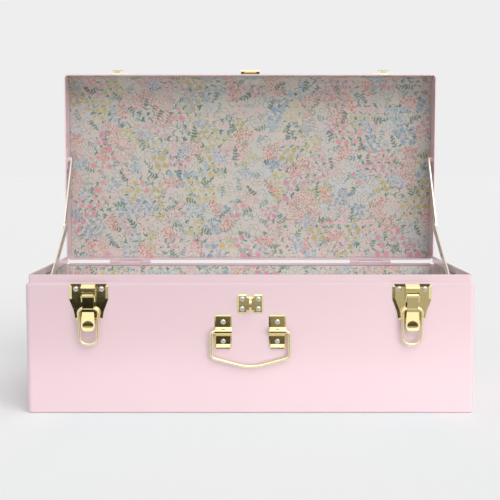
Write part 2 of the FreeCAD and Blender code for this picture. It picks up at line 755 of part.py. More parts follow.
def make_latch_plate(side, x):
    wide = v.latch_width / 2
    foot = v.latch_foot_width / 2
    bottom = plate_top - v.latch_height
    straight = plate_top - v.latch_straight
    waist_z = straight - v.latch_waist_drop
    waist = wide - v.latch_waist
    soft = v.latch_corner
    right = [(foot, bottom, soft), (waist, waist_z, v.latch_waist_drop),
             (wide, straight, v.latch_waist_drop * HALF), (wide, plate_top, soft)]
    corners = [(x + c[0],) + c[1:] for c in right] + [(x - c[0],) + c[1:] for c in reversed(right)]
    rivet_z = plate_top - v.latch_rivet_drop
    spots = [(x - v.latch_rivet_spread, rivet_z), (x + v.latch_rivet_spread, rivet_z)]
    plate = bevelled_plate(f"latch_base_{side}", corners, v.latch_bevel_width)
    rivets, holes = riveted(f"latch_rivet_{side}", spots, front_y - v.plate, "-Y",
                            v.plate + v.sheet)
    wall_holes.extend(holes)
    finish(group(f"latch_rivet_pair_{side}", rivets), f"latch_rivets_{side}")

    ear_low = pivot_z - v.ear_below
    bridge_low = pivot_z + v.bridge_drop
    bridge_high = bridge_low + v.bridge_front
    ear_profile = out_profile([
        (none, ear_low), (v.ear_out * HALF, ear_low, v.ear), (v.ear_out, pivot_z, v.ear),
        (v.ear_out, bridge_high, v.ear), (v.plate, plate_top), (none, plate_top)])
    ears = [prism(f"latch_ear_{side}_{s + 1}", "YZ", ear_profile,
                  x + v.ear_gap / 2 * s - (v.ear if s < 0 else none), v.ear) for s in (-1, 1)]
    half = v.ear_gap / 2 + v.ear
    bridge = prism(f"latch_bridge_{side}", "YZ", out_profile([
        (none, bridge_low), (v.ear_out, bridge_low), (v.ear_out, bridge_high, v.ear),
        (v.plate, plate_top), (none, plate_top)]), x - half, half * 2)
    whole = join(f"latch_whole_{side}", [plate, bridge] + ears)
    pin_y = front_y - v.lever_pivot_out
    bore = rod(f"latch_pin_bore_{side}", v.lever_pin_radius + v.set_clearance, half + v.overrun,
               x, pin_y, pivot_z)
    finish(cut(f"latch_bored_{side}", whole, [bore] + holes), f"latch_plate_{side}")
    finish(rod(f"lever_pin_{side}", v.lever_pin_radius, half + v.rest_gap, x, pin_y, pivot_z),
           f"latch_pivot_pin_{side}")


def make_lever(side, x):
    """Drawn about its pivot: distances from the wall, heights from the pivot."""
    back = v.lever_out
    face = back + v.lever_sheet
    out = face + v.lever_lean
    lip = out + v.lever_lip
    end = pivot_z - v.lever_length
    bend = end + v.lever_lip_rise
    flat_end = pivot_z - v.lever_flat
    narrow = v.ear_gap / 2 - v.lever_side_gap
    step_z = pivot_z - v.ear_below - v.lever_side_gap
    upper = prism(f"lever_upper_{side}", "YZ", out_profile([
        (back, step_z), (face, step_z), (face, pivot_z), (back, pivot_z)]), x - narrow, narrow * 2)
    top = v.lever_width / 2
    wide = v.lever_end_width / 2
    bent = prism(f"lever_bent_{side}", "YZ", out_profile([
        (back, step_z), (face, step_z), (face, flat_end), (out, bend, v.lever_lip_rise * HALF),
        (lip, end + v.lever_sheet), (lip - v.lever_sheet * HALF, end),
        (out - v.lever_sheet, bend - v.lever_sheet, v.lever_lip_rise * HALF), (back, flat_end)]),
        x - wide, wide * 2)
    outline = prism(f"lever_outline_{side}", "XZ", [
        (x - top, step_z), (x - wide, end, v.lever_end_bend), (x + wide, end, v.lever_end_bend),
        (x + top, step_z)], -front_y, lip + v.overrun)
    lower = common(f"lever_lower_{side}", bent, outline)
    knuckle = rod(f"lever_knuckle_{side}", v.lever_knuckle_radius, narrow, x,
                  front_y - v.lever_pivot_out, pivot_z)
    barrel = rod(f"lever_barrel_{side}", v.loop_barrel_radius, top, x, front_y - v.loop_out,
                 loop_z)
    whole = join(f"lever_whole_{side}", [upper, lower, knuckle, barrel])
    pin_bore = rod(f"lever_pin_bore_{side}", v.lever_pin_radius + v.turning_clearance,
                   wide + v.overrun, x, front_y - v.lever_pivot_out, pivot_z)
    wire_bore = rod(f"lever_wire_bore_{side}", v.loop_wire_radius + v.turning_clearance,
                    wide + v.overrun, x, front_y - v.loop_out, loop_z)
    thumb_z = pivot_z - v.thumb_drop
    leaning = v.lever_length - v.lever_lip_rise - v.lever_flat
    thumb_out = face + v.lever_lean * ((v.thumb_drop - v.lever_flat) / leaning)
    hollow = rod(f"lever_hollow_{side}", v.thumb_bend, wide, x,
                 front_y - thumb_out + v.thumb_depth - v.thumb_bend, thumb_z)
    oval = prism(f"lever_oval_{side}", "XZ", oblong(
        x, thumb_z, v.thumb_width, v.thumb_height, (v.thumb_height - v.set_clearance) / 2),
        -front_y, lip + v.overrun)
    thumb = common(f"lever_thumb_{side}", hollow, oval)
    tools = [pin_bore, wire_bore, thumb]
    finish(cut(f"lever_bored_{side}", whole, tools), f"latch_lever_{side}")


def wire(name, path_corners, closed, start_x, radius):
    """A round wire along a path in the XZ plane whose first run leaves along X."""
    body = new_body(name)
    path = new_sketch(body, name + "_path", "XZ", none)
    trace(path, path_corners, closed)
    ring = new_sketch(body, name + "_ring", "YZ", start_x)
    add_circle(ring, none, none, radius)
    doc.recompute()
    pipe = body.newObject("PartDesign::AdditivePipe", name + "_pipe")
    pipe.Profile = ring
    pipe.Spine = (path, [f"Edge{i}" for i in range(1, len(path.Shape.Edges) + 1)])
    doc.recompute()
    return body


def make_loop(side, x):
    """Drawn about its axis, which is the middle of its upper bar."""
    half = v.loop_half_width
    end = v.loop_end_half_width
    corners = [(none, none), (half, none, v.loop_bend),
               (end, -v.loop_length, v.loop_end_bend),
               (-end, -v.loop_length, v.loop_end_bend), (-half, none, v.loop_bend)]
    body = wire(f"loop_{side}", corners, True, none, v.loop_wire_radius)
    place(body, x, front_y - v.loop_out, loop_z)
    finish(body, f"latch_loop_{side}")


def make_staple():
    x_rivet, z_rivet = v.staple_rivet_x, v.staple_rivet_z
    spots = [(x_rivet * sx, staple_z + z_rivet * sz) for sx in (-1, 1) for sz in (-1, 1)]
    side = v.staple_width / 2
    rise = v.staple_height / 2
    notch = v.staple_notch_width / 2
    floor = rise - v.staple_notch_depth
    soft = v.staple_corner
    inner = v.staple_notch_corner
    lower = [(-side, -rise, soft), (-notch, -rise, soft), (-notch, -floor, inner),
             (notch, -floor, inner), (notch, -rise, soft), (side, -rise, soft)]
    upper = [(cx, -cz, radius) for cx, cz, radius in reversed(lower)]
    plate = bevelled_plate("staple_plate", [
        (cx, staple_z + cz, radius) for cx, cz, radius in lower + upper], v.bevel_width)
    rivets, holes = riveted("staple_rivet", spots, front_y - v.plate, "-Y", v.plate + v.sheet)
    wall_holes.extend(holes)
    finish(group("staple_rivet_set", rivets), "staple_rivets")
    neck = prism("staple_neck", "XZ",
                 oblong(none, staple_z, v.staple_neck_width, v.staple_neck_height,
                        v.staple_corner),
                 -front_y + v.plate, v.staple_neck)
    high = staple_z + v.fin_height / 2
    low = staple_z - v.fin_height / 2
    fin = prism("staple_fin", "YZ", out_profile([
        (v.plate * HALF, low), (v.fin_out, low, v.fin_corner), (v.fin_out, high, v.fin_corner),
        (v.plate * HALF, high)]), -v.fin_thickness / 2, v.fin_thickness,
        [(front_y - v.eye_out, staple_z, v.eye_radius)])
    finish(cut("staple_drilled", join("staple_whole", [plate, neck, fin]), holes), "staple")


def make_handle():
    for side, sign in SIDES:
        x = v.bracket_spread * sign
        spots = [(x, bail_z + v.bracket_rivet), (x, bail_z - v.bracket_rivet)]
        plate = bevelled_plate(f"bracket_plate_{side}", oblong(
            x, bail_z, v.bracket_width, v.bracket_height, v.bracket_corner), v.bevel_width)
        rivets, holes = riveted(f"bracket_rivet_{side}", spots, front_y - v.plate, "-Y",
                                v.plate + v.sheet)
        wall_holes.extend(holes)
        finish(group(f"bracket_rivet_pair_{side}", rivets), f"handle_rivets_{side}")
        half = v.bracket_width / 2
        barrel = prism(f"bracket_barrel_{side}", "YZ", out_profile([
            (v.plate * HALF, bail_z - v.barrel_half_height),
            (v.plate, bail_z - v.barrel_half_height),
            (v.barrel_out, bail_z - v.barrel_nose, v.barrel_nose),
            (v.barrel_out, bail_z + v.barrel_nose, v.barrel_nose),
            (v.plate, bail_z + v.barrel_half_height),
            (v.plate * HALF, bail_z + v.barrel_half_height)]), x - half, half * 2)
        low = bail_z - v.bracket_height / 2
        lip_half = half - v.bracket_corner
        lip = prism(f"bracket_lip_{side}", "YZ", out_profile([
            (v.plate * HALF, low), (v.bracket_lip_out, low),
            (v.bracket_lip_out, low + v.plate), (v.plate * HALF, low + v.bracket_lip_rise)]),
            x - lip_half, lip_half * 2)
        whole = join(f"bracket_whole_{side}", [plate, barrel, lip])
        outer_edge = x + half * sign
        bore = cylinder(f"bracket_bore_{side}", v.bail_wire_radius + v.turning_clearance,
                        v.bail_end_inset + v.rest_gap * 2 + v.overrun,
                        outer_edge + v.overrun * sign, front_y - v.bail_axis_out, bail_z,
                        "-X" if sign > 0 else "+X")
        finish(cut(f"bracket_bored_{side}", whole, [bore] + holes), f"handle_bracket_{side}")
    half = v.bail_half_width
    start = v.bracket_spread + v.bracket_width / 2 - v.bail_end_inset
    right = [(start, none), (half, none, v.bail_upper_bend),
             (half, -v.bail_side_drop, v.bail_lower_bend)]
    left = [(-c[0],) + c[1:] for c in right]
    corners = left + [(none, -v.bail_drop, v.bail_grip_bend)] + right[::-1]
    body = wire("bail", corners, False, -start, v.bail_wire_radius)
    place(body, none, front_y - v.bail_axis_out, bail_z)
    finish(body, "handle_bail")


def make_keepers():
    keeper_rivets = []
    low = rim_z + v.keeper_rise
    centre_z = low + v.keeper_height / 2
    for side, sign in SIDES:
        x = latch_x * sign
        spots = [(x - v.keeper_rivet_spread, centre_z), (x + v.keeper_rivet_spread, centre_z)]
        plate = bevelled_plate(f"keeper_plate_{side}", oblong(
            x, centre_z, v.keeper_width, v.keeper_height, v.latch_corner), v.bevel_width)
        rivets, holes = riveted(f"keeper_rivet_{side}", spots, front_y - v.plate, "-Y",
                                v.plate + v.sheet, True)
        lid_holes.extend(holes)
        keeper_rivets.extend(rivets)
        neck = v.keeper_neck_width / 2
        tip = front_y - v.keeper_lip_out - v.plate
        arm = box(f"keeper_arm_{side}", x - neck, x + neck, tip, front_y - v.plate * HALF,
                  keeper_seat - v.plate, keeper_seat)
        lip = prism(f"keeper_lip_{side}", "XZ",
                    oblong(x, keeper_seat + (v.keeper_lip_height - v.plate) / 2,
                           v.keeper_hook_width, v.keeper_lip_height + v.plate, v.plate),
                    -front_y + v.keeper_lip_out, v.plate)
        block = neck + v.plate
        foot = box(f"keeper_foot_{side}", x - block, x + block, front_y - v.plate * 2,
                   front_y - v.plate * HALF, low + v.bevel_width, keeper_seat - v.plate)
        whole = join(f"keeper_whole_{side}", [plate, foot, arm, lip])
        finish(swing_open(cut(f"keeper_drilled_{side}", whole, holes)), f"keeper_{side}")
    finish(swing_open(group("keeper_rivet_set", keeper_rivets)), "keeper_rivets")


def make_hasp():
    half = v.hasp_width / 2
    spots = [(v.hasp_rivet_spread * s, hasp_z + v.hasp_rivet_rise) for s in (-1, 1)]
    hole = v.small_shank_radius + v.set_clearance
    low = hasp_z - v.hasp_knuckle_radius
    high = hasp_z + v.hasp_leaf_height
    leaf = prism("hasp_leaf", "XZ",
                 [(-half, low), (half, low), (half, high, v.latch_corner),
                  (-half, high, v.latch_corner)],
                 -front_y, v.plate, [(sx, sz, hole) for sx, sz in spots])
    rivets, holes = riveted("hasp_rivet", spots, front_y - v.plate, "-Y", v.plate + v.sheet, True)
    lid_holes.extend(holes)
    finish(swing_open(group("hasp_rivet_set", rivets)), "hasp_rivets")
    y = front_y - v.hasp_axis_out
    pieces = [leaf]
    for s in (-1, 1):
        middle = (half - v.hasp_end / 2) * s
        half_end = v.hasp_end / 2
        tag = f"hasp_end_{s + 1}"
        pieces.append(rod(tag, v.hasp_knuckle_radius, half_end, middle, y, hasp_z))
        pieces.append(box(tag + "_neck", middle - half_end, middle + half_end, y, front_y,
                          low, hasp_z + v.hasp_knuckle_radius))
    whole = join("hasp_whole", pieces)
    bore = rod("hasp_bore", v.hasp_pin_radius + v.set_clearance, half + v.overrun, none, y, hasp_z)
    finish(swing_open(cut("hasp_bored", whole, [bore])), "hasp_plate")
    finish(swing_open(group("hasp_pin_set", [rod("hasp_pin_rod", v.hasp_pin_radius, half, none, y,
                                                 hasp_z)])), "hasp_pin")


def make_hasp_strap():
    """Drawn hanging from its axis, then turned back over the lid."""
    half = v.hasp_width / 2
    end = -v.strap_length
    middle = half - v.hasp_end - v.hasp_side_gap
    slot_x = v.strap_slot_width / 2
    body = new_body("strap_sheet")
    sketch = new_sketch(body, "strap_outline", "XZ", -v.strap_thickness / 2)
    trace(sketch, [(-middle, none), (middle, none), (middle, -v.strap_clear),
                   (half, -v.strap_clear), (half, end, v.strap_corner),
                   (-half, end, v.strap_corner), (-half, -v.strap_clear),
                   (-middle, -v.strap_clear)])
    slot_high = -v.strap_slot_drop + v.strap_slot_height / 2
    slot_low = -v.strap_slot_drop - v.strap_slot_height / 2
    soft = slot_x - v.set_clearance
    trace(sketch, [(-slot_x, slot_low, soft), (slot_x, slot_low, soft),
                   (slot_x, slot_high, soft), (-slot_x, slot_high, soft)])
    add_pad(body, sketch, "strap_pad", v.strap_thickness)
    knuckle = rod("strap_knuckle", v.hasp_knuckle_radius, middle, none, none, none)
    curl_half = half - v.strap_corner
    curl = rod("strap_curl", v.strap_curl_radius, curl_half, none,
               -v.strap_curl_radius + v.strap_thickness / 2, end)
    whole = join("strap_whole", [body, knuckle, curl])
    bore = rod("strap_bore", v.hasp_pin_radius + v.turning_clearance, half, none, none, none)
    strap = cut("strap_bored", whole, [bore])
    turn_about_x(strap, v.strap_lean + QUARTER)
    out = front_y - v.hasp_axis_out
    place(strap, none, axis_y + (hasp_z - axis_z), axis_z - (out - axis_y))
    finish(strap, "hasp_strap")


def make_stays():
    base_y = front_y + v.stay_base_y
    base_z = v.body_height - v.stay_base_drop
    middle_y = front_y + v.stay_middle_y
    middle_z = v.body_height + v.stay_middle_rise
    lid_y = axis_y + v.stay_lid_depth
    lid_z = axis_z + v.stay_lid_reach
    upper_out = wall_x - v.stay_wall_gap
    upper_in = upper_out - v.stay_thickness
    lower_out = upper_in - v.stay_layer_gap
    lower_in = lower_out - v.stay_thickness
    bore = v.stay_pivot_radius + v.turning_clearance
    snug = v.stay_pivot_radius + v.set_clearance
    for side, sign in SIDES:
        inward = "+X" if sign < 0 else "-X"
        outward = "-X" if sign < 0 else "+X"
        make_stay_arm(f"stay_lower_arm_{side}", sign, lower_in, middle_y - base_y,
                      middle_z - base_z, (base_y, base_z), bore, snug, True)
        make_stay_arm(f"stay_upper_arm_{side}", sign, upper_in, middle_y - lid_y,
                      middle_z - lid_z, (lid_y, lid_z), bore, snug, False)

        post = cylinder(f"stay_post_{side}", v.stay_post_radius,
                        wall_x - lower_out - v.turning_clearance, wall_x * sign, base_y, base_z,
                        inward)
        stem = cylinder(f"stay_stem_{side}", v.stay_pivot_radius,
                        wall_x - lower_in + v.turning_clearance, wall_x * sign, base_y, base_z,
                        inward)
        head = dome(f"stay_head_{side}", v.stay_head_radius, v.stay_head_height,
                    (lower_in - v.turning_clearance) * sign, base_y, base_z, inward)
        finish(join(f"stay_base_fixing_{side}", [post, stem, head]), f"stay_base_rivet_{side}")

        lid_stem = cylinder(f"stay_lid_stem_{side}", v.stay_pivot_radius,
                            wall_x - v.stay_bracket_plate - upper_in + v.turning_clearance,
                            (wall_x - v.stay_bracket_plate) * sign, lid_y, lid_z, inward)
        lid_head = dome(f"stay_lid_head_{side}", v.stay_head_radius, v.stay_head_height,
                        (upper_in - v.turning_clearance) * sign, lid_y, lid_z, inward)
        finish(join(f"stay_lid_fixing_{side}", [lid_stem, lid_head]), f"stay_lid_rivet_{side}")

        size = v.stay_bracket_size / 2
        plate_in = wall_x - v.stay_bracket_plate
        plate_start = plate_in if sign > 0 else -wall_x
        bracket = prism(f"stay_bracket_plate_{side}", "YZ",
                        oblong(lid_y, lid_z, v.stay_bracket_size, v.stay_bracket_size * 2,
                               size * HALF), plate_start, v.stay_bracket_plate)
        boss = cylinder(f"stay_boss_{side}", v.stay_boss_radius,
                        v.stay_wall_gap - v.turning_clearance, wall_x * sign, lid_y, lid_z, inward)
        boss_bore = cylinder(f"stay_boss_bore_{side}", snug, v.stay_wall_gap + v.overrun,
                             (wall_x - v.stay_bracket_plate) * sign, lid_y, lid_z, inward)
        finish(cut(f"stay_bracket_bored_{side}", join(f"stay_bracket_whole_{side}",
                                                      [bracket, boss]), [boss_bore]),
               f"stay_bracket_{side}")

        stud_stem = cylinder(f"stay_stud_stem_{side}", v.stay_pivot_radius, v.stay_thickness,
                             lower_out * sign, middle_y, middle_z, inward)
        stud_head = dome(f"stay_stud_head_{side}", v.stay_head_radius, v.stay_head_height,
                         lower_in * sign, middle_y, middle_z, inward)
        finish(join(f"stay_stud_{side}", [stud_stem, stud_head]), f"stay_joint_rivet_{side}")
        back_stem = cylinder(f"stay_back_stem_{side}", v.stay_pivot_radius, v.stay_thickness,
                             upper_in * sign, middle_y, middle_z, outward)
        back_head = cylinder(f"stay_back_head_{side}", v.stay_head_radius, v.stay_back_head,
                             upper_out * sign, middle_y, middle_z, outward)
        finish(join(f"stay_back_{side}", [back_stem, back_head]), f"stay_joint_cap_{side}")


def make_stay_arm(label, sign, inner, across, up, pivot, bore, snug, ribbed):
    """A flat arm drawn along +Y from its fixed pivot, then turned towards the middle joint."""
    length = length_of(across, up)
    end = v.stay_width / 2
    start_x = inner if sign > 0 else -inner - v.stay_thickness
    arm = prism(label + "_sheet", "YZ",
                [(-end, -end, end - v.set_clearance), (length + end, -end, end - v.set_clearance),
                 (length + end, end, end - v.set_clearance), (-end, end, end - v.set_clearance)],
                start_x, v.stay_thickness, [(none, none, bore), (length, none, snug)])
    pieces = [arm]
    if ribbed:
        rib_start = (inner - v.stay_rib) if sign > 0 else -inner
        pieces.append(prism(label + "_rib", "YZ",
                            [(v.stay_rib_start, -v.stay_rib_width / 2, v.stay_rib),
                             (length - v.stay_rib_end, -v.stay_rib_width / 2, v.stay_rib),
                             (length - v.stay_rib_end, v.stay_rib_width / 2, v.stay_rib),
                             (v.stay_rib_start, v.stay_rib_width / 2, v.stay_rib)],
                            rib_start, v.stay_rib))
    whole = join(label + "_whole", pieces) if len(pieces) > 1 else group(label + "_whole", pieces)
    turn_about_x(whole, angle_of(across, up))
    place(whole, none, pivot[0], pivot[1])
    finish(whole, label)


make_latches()
make_staple()
make_handle()
make_hinges()
make_keepers()
make_hasp()
make_hasp_strap()
make_stays()
make_base_body()
make_base_panels()
make_lid()
make_lid_liner()
doc.recompute()


def check_and_write():
    os.makedirs("parts", exist_ok=True)
    for thing in doc.Objects:
        if "Invalid" in thing.State or "Error" in thing.State:
            raise ValueError(f"{thing.Name} failed: {thing.State}")
    for thing in finished:
        shape = thing.Shape
        if shape.isNull() or not shape.isValid() or not shape.Solids:
            raise ValueError(f"{thing.Label} has no valid solid")
    for thing in finished:
        thing.Shape.exportStep(f"parts/{thing.Label}.step")
        print(f"{thing.Label}: {len(thing.Shape.Solids)} solids, {thing.Shape.Volume:.1f} mm3")
    print(len(finished), "sub-parts")


check_and_write()
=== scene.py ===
import json
import math

import bpy
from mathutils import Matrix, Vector


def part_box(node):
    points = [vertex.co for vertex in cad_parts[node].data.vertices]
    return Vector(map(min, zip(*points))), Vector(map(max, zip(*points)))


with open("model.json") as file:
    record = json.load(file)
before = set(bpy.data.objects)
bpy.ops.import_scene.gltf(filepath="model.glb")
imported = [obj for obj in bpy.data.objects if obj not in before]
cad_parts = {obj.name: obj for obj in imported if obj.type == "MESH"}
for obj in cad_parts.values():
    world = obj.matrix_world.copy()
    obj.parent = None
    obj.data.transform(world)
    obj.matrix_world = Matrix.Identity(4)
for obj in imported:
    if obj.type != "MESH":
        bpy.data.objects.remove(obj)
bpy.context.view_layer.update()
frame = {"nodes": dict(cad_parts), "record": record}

MM = 0.001
PHOTO_WIDTH = 500
SENSOR_WIDTH = 36
CLEAR_WHITE = (1.0, 1.0, 1.0, 1.0)


# Colours and shader maths

def tint(red, green, blue):
    """A colour picked in display values, as the linear colour that a node takes."""
    def linear(value):
        share = value / 255
        return share / 12.92 if share <= 0.04045 else ((share + 0.055) / 1.055) ** 2.4
    return (linear(red), linear(green), linear(blue), 1.0)


def gray(tone):
    return (tone, tone, tone, 1.0)


class Term:
    """A socket of a node tree; sums, products and comparisons of terms add Math nodes."""

    def __init__(self, nodes, socket):
        self.nodes = nodes
        self.socket = socket

    def math(self, operation, *others):
        return self.nodes.math(operation, self, *others)

    def __add__(self, other):
        return self.math("ADD", other)

    def __sub__(self, other):
        return self.math("SUBTRACT", other)

    def __mul__(self, other):
        return self.math("MULTIPLY", other)

    def __truediv__(self, other):
        return self.math("DIVIDE", other)

    def __pow__(self, other):
        return self.math("POWER", other)

    def __gt__(self, other):
        return self.math("GREATER_THAN", other)

    def __abs__(self):
        return self.math("ABSOLUTE")

    def __neg__(self):
        return self.math("MULTIPLY", -1.0)

    def __rsub__(self, other):
        return self.nodes.math("SUBTRACT", other, self)

    __radd__ = __add__
    __rmul__ = __mul__


class Nodes:
    """The node tree of a material or of the world, written as expressions."""

    def __init__(self, owner):
        owner.use_nodes = True
        self.tree = owner.node_tree
        self.tree.nodes.clear()

    def node(self, kind, settings=None, inputs=None, output=0):
        """Any node: its settings first, then the values or links of its sockets."""
        made = self.tree.nodes.new(kind)
        for key, value in (settings or {}).items():
            if key == "stops":
                fill_ramp(made.color_ramp, value)
            elif key == "interpolation":
                made.color_ramp.interpolation = value
            else:
                setattr(made, key, value)
        for key, value in (inputs or {}).items():
            if isinstance(value, Term):
                self.tree.links.new(value.socket, made.inputs[key])
            else:
                made.inputs[key].default_value = value
        return Term(self, made.outputs[output]) if made.outputs else None

    def math(self, operation, *values, clamp=False):
        return self.node("ShaderNodeMath", {"operation": operation, "use_clamp": clamp},
                         dict(enumerate(values)))

    def mix(self, share, first, second):
        return self.node("ShaderNodeMix", {"data_type": "RGBA"},
                         {0: share, 6: first, 7: second}, output=2)

    def ramp(self, share, stops, interpolation="LINEAR"):
        return self.node("ShaderNodeValToRGB",
                         {"stops": stops, "interpolation": interpolation}, {0: share})

    def noise(self, place, scale, detail=2.0, output=0):
        return self.node("ShaderNodeTexNoise", None,
                         {"Vector": place, "Scale": scale, "Detail": detail}, output)

    def vector(self, x, y, z):
        return self.node("ShaderNodeCombineXYZ", None, {0: x, 1: y, 2: z})

    def place(self):
        """Where a point lies on its object."""
        return self.node("ShaderNodeTexCoord", output="Object")

    def parts(self, vector):
        split = self.node("ShaderNodeSeparateXYZ", None, {0: vector}).socket.node
        return [Term(self, socket) for socket in split.outputs]

    def length(self, x, y):
        return self.node("ShaderNodeVectorMath", {"operation": "LENGTH"},
                         {0: self.vector(x, y, 0.0)}, output="Value")

    def turn(self, x, y, angle):
        """The point (x, y) turned about the origin."""
        turned = self.node("ShaderNodeVectorRotate", {"rotation_type": "Z_AXIS"},
                           {"Vector": self.vector(x, y, 0.0), "Angle": angle})
        return self.parts(turned)[:2]

    def dice(self, column, row, seed):
        """Three random numbers from 0 to 1 that stay the same all over a cell."""
        return self.parts(self.node("ShaderNodeTexWhiteNoise", {"noise_dimensions": "3D"},
                                    {"Vector": self.vector(column, row, seed)}, output="Color"))

    def soft_step(self, depth, width):
        """1 where depth is well above zero and 0 below it, with an edge of that width."""
        return self.math("ADD", depth / width, 0.5, clamp=True)


class Finish(Nodes):
    """A material that is closed with one shader."""

    def __init__(self, name):
        self.material = bpy.data.materials.new(name)
        super().__init__(self.material)

    def close(self, color, roughness, metallic=0.0, coat=0.0, coat_roughness=0.1,
              bump=None, bump_height=0.0):
        inputs = {"Base Color": color, "Roughness": roughness, "Metallic": metallic,
                  "IOR": 1.5, "Coat Weight": coat, "Coat Roughness": coat_roughness}
        if bump is not None:
            inputs["Normal"] = self.node("ShaderNodeBump", None,
                                         {"Distance": bump_height, "Height": bump})
        shader = self.node("ShaderNodeBsdfPrincipled", None, inputs)
        self.node("ShaderNodeOutputMaterial", None, {"Surface": shader})
        return self.material


def fill_ramp(ramp, stops):
    while len(ramp.elements) > 1:
        ramp.elements.remove(ramp.elements[-1])
    ramp.elements[0].position = stops[0][0]
    ramp.elements[0].color = stops[0][1]
    for position, color in stops[1:]:
        ramp.elements.new(position).color = color


# Finishes of the steel and the fittings

BRASS_DEEP, BRASS_PALE = tint(237, 219, 162), tint(246, 233, 181)


def powder_coat():
    finish = Finish("pink_powder_coat")
    place = finish.place()
    cloud = finish.noise(place, scale=6.0, detail=3.0)
    peel = finish.noise(place, scale=900.0)
    grain = finish.noise(place, scale=2600.0, detail=1.0)
    color = finish.mix(cloud, tint(215, 188, 195), tint(220, 194, 200))
    roughness = 0.34 + cloud * 0.08 + grain * 0.06
    return finish.close(color, roughness, coat=0.9, coat_roughness=0.14,
                        bump=peel + grain * 0.5, bump_height=0.04 * MM)


def brass():
    finish = Finish("polished_brass")
    place = finish.place()
    cloud = finish.noise(place, scale=45.0, detail=4.0)
    haze = finish.noise(place, scale=180.0, detail=3.0)
    color = finish.mix(cloud, BRASS_DEEP, BRASS_PALE)
    roughness = 0.05 + cloud * 0.04 + haze * 0.03
    return finish.close(color, roughness, metallic=1.0,
                        bump=finish.noise(place, scale=260.0), bump_height=0.02 * MM)


def satin_brass():
    """Plated wire and hooks, a little softer in their shine than the plates."""
    finish = Finish("satin_brass")
    place = finish.place()
    cloud = finish.noise(place, scale=70.0, detail=3.0)
    drawn = finish.noise(place, scale=400.0)
    color = finish.mix(cloud, tint(245, 233, 190), tint(251, 243, 206))
    roughness = 0.2 + cloud * 0.05 + drawn * 0.03
    return finish.close(color, roughness, metallic=1.0, bump=drawn, bump_height=0.01 * MM)


THUMB_ABOVE_TIP = 8.1
THUMB_HALF_WIDTH = 6.4
THUMB_RISE = 4.6


def lever_brass():
    """The same brass, with painted shade in the thumb hollow near the lever's tip, lighter towards
    its top, and rougher there.
    """
    finish = Finish("polished_brass_lever")
    place = finish.place()
    low, high = (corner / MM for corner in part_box("latch_lever_right"))
    across, _, up = [part * (1 / MM) for part in finish.parts(place)]
    aside = (abs(across) - (low.x + high.x) / 2) / THUMB_HALF_WIDTH
    above = (up - low.z - THUMB_ABOVE_TIP + THUMB_RISE * 0.5) / (THUMB_RISE * 1.5)
    inside = finish.math("MINIMUM", 1.0 - finish.length(aside, above), above * 4)
    hollow = finish.soft_step(inside, 0.18)
    cloud = finish.noise(place, scale=45.0, detail=4.0)
    polished = finish.mix(cloud, BRASS_DEEP, BRASS_PALE)
    # Painted shade: dark brass tones in the thumb hollow, lighter towards its top, stand in for the
    # hollow's shadow.
    painted_thumb_shade = finish.mix(cloud + above * 0.5 - 0.25, tint(74, 66, 34), tint(122, 112, 62))
    return finish.close(finish.mix(hollow, polished, painted_thumb_shade), 0.07 + hollow * 0.2, metallic=1.0)


def nickel():
    finish = Finish("bright_nickel")
    cloud = finish.noise(finish.place(), scale=120.0, detail=3.0)
    color = finish.mix(cloud, tint(192, 191, 188), tint(210, 209, 206))
    return finish.close(color, 0.06 + cloud * 0.06, metallic=1.0)


def stay_steel():
    """Plated steel with fine marks along the arms."""
    finish = Finish("champagne_plate")
    across, along, up = finish.parts(finish.place())
    marks = finish.vector(across * 4000.0, along * 60.0, up * 900.0)
    drawn = finish.noise(marks, scale=1.0, detail=3.0)
    color = finish.mix(drawn, tint(204, 198, 186), tint(228, 223, 213))
    return finish.close(color, 0.24 + drawn * 0.12, metallic=1.0,
                        bump=drawn, bump_height=0.01 * MM)


# The printed paper: a small flower print of common garden motifs, in millimetres.

PAPER = tint(204, 200, 191)
PAPER_SHADE = tint(198, 193, 185)
FIBRE = tint(214, 206, 196)
INK_EDGE = 0.5
HALO = 0.45
DRIFT = 8.0
CELL_SHIFT = (0.37, 0.71)
PICK_SEED = 50.0

PATCH = 24.0
SPECKLED_PATCHES = (0.0, 0.12)
OPEN_PATCHES = (0.2, 0.5)
FLOWER_PATCHES = (0.36, 1.0)
SMALL_PATCHES = (0.42, 0.68)
LARGE_PATCHES = (0.68, 1.0)

PATCH_TINTS = [tint(206, 142, 162), tint(207, 164, 172), tint(184, 170, 108),
               tint(216, 186, 186), tint(136, 162, 188), tint(212, 150, 158),
               tint(196, 182, 128), tint(160, 184, 196)]
PETAL_SEAM = tint(110, 76, 84)
FLOWER_HEART = tint(176, 132, 108)
PALE_HEART = tint(214, 192, 184)
CORAL = tint(210, 128, 116)
PALE_CORAL = tint(214, 158, 160)
FADED_BLUE = tint(140, 166, 192)
SMALL_TINTS = [tint(214, 152, 158), tint(158, 178, 196), tint(216, 178, 182),
               tint(190, 180, 130)]
LEAVES = [tint(96, 126, 112), tint(116, 142, 128), tint(106, 132, 126), tint(128, 146, 118)]
PALE_LEAVES = [tint(140, 160, 158), tint(156, 168, 164), tint(128, 150, 154)]
WASHES = [tint(207, 193, 194), tint(207, 199, 188), tint(196, 198, 200), tint(208, 192, 187)]
LINE = tint(104, 122, 130)


